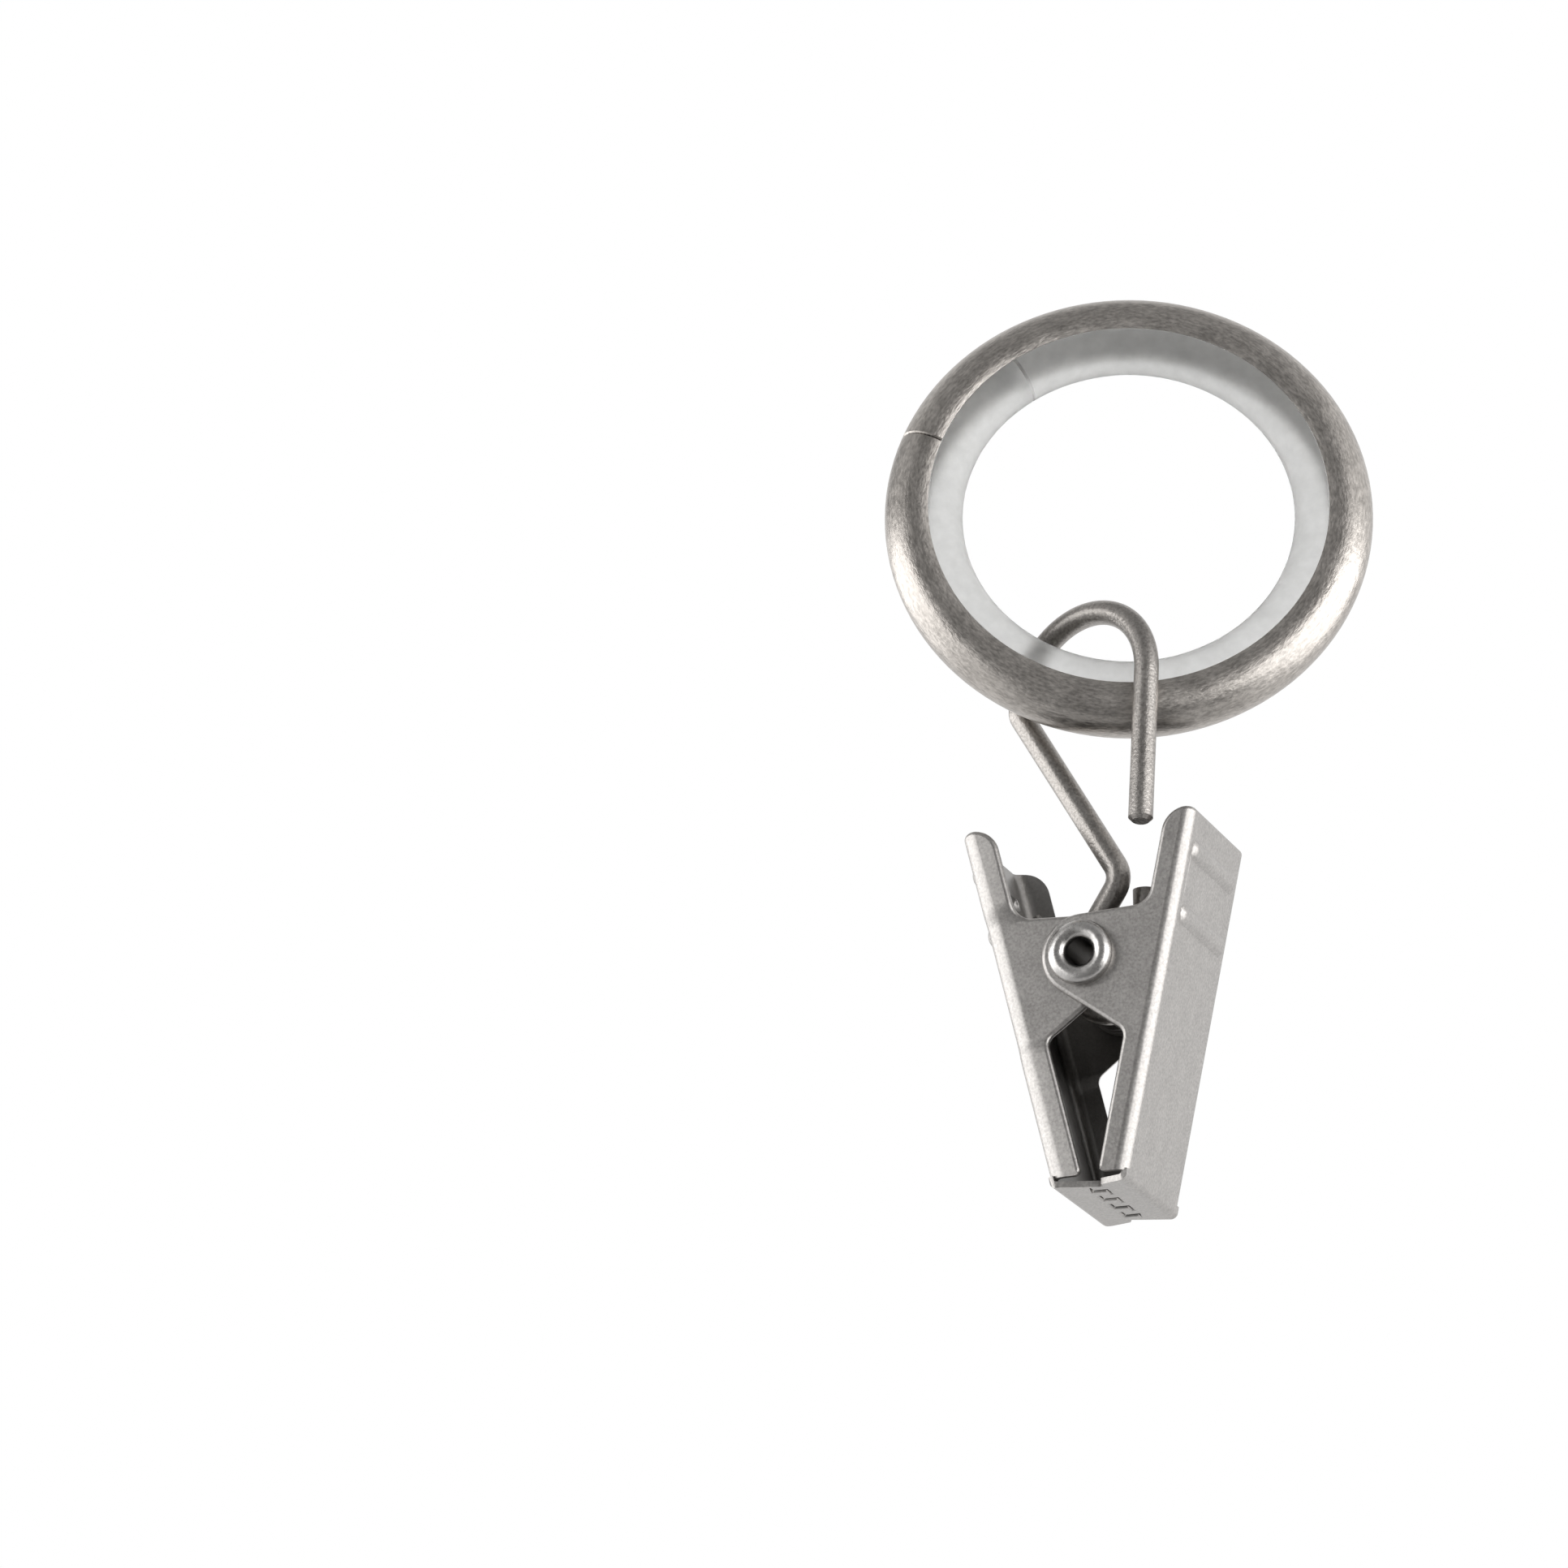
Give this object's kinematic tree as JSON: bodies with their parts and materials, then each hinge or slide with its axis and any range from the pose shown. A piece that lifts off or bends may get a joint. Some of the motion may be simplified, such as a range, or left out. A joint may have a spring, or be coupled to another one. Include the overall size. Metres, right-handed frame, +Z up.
{
  "type": "curtain ring with clip",
  "caption": "Round metal curtain ring with a quiet plastic liner and a hanging spring clip on a bent wire hook, for hanging a curtain from a rod without sewing.",
  "frame": {"origin": "centre of the ring, in the middle of its width", "axes": "+Y along the rod, +Z up from the clip to the top of the ring, +X completes a right-handed set"},
  "size_m": [0.04, 0.022, 0.0782],
  "materials": {
    "satin_nickel": "satin",
    "pressed_nickel": "satin",
    "milky_nylon": "satin",
    "rivet_nickel": "polished",
    "spring_steel": "satin"
  },
  "bodies": {
    "ring": {"ring_tube": "satin_nickel", "ring_liner": "milky_nylon"},
    "hook": {"hook": "satin_nickel"},
    "clip": {"front_jaw": "pressed_nickel", "rivet": "rivet_nickel", "torsion_spring": "spring_steel"},
    "rear_jaw": {"rear_jaw": "pressed_nickel"}
  },
  "joints": [
    {"name": "hook_swing", "type": "hinge", "parent": "ring", "child": "hook", "pos_m": [-0.00367, 0, -0.01701], "axis": [0.9775, 0, -0.2109], "range_deg": [-26, 12]},
    {"name": "clip_swing", "type": "hinge", "parent": "hook", "child": "clip", "pos_m": [-0.00157, 0.0062, -0.03861], "axis": [0.2887, 0.9443, 0.1582], "range_deg": [-3, 7]},
    {"name": "jaw_open", "type": "hinge", "parent": "clip", "child": "rear_jaw", "pos_m": [-0.00157, 0.0062, -0.03861], "axis": [0.2887, 0.9443, 0.1582], "range_deg": [0, 18], "stiffness_Nm_per_rad": 0.076, "springref_deg": -45.84, "deforming": ["torsion_spring"]}
  ]
}
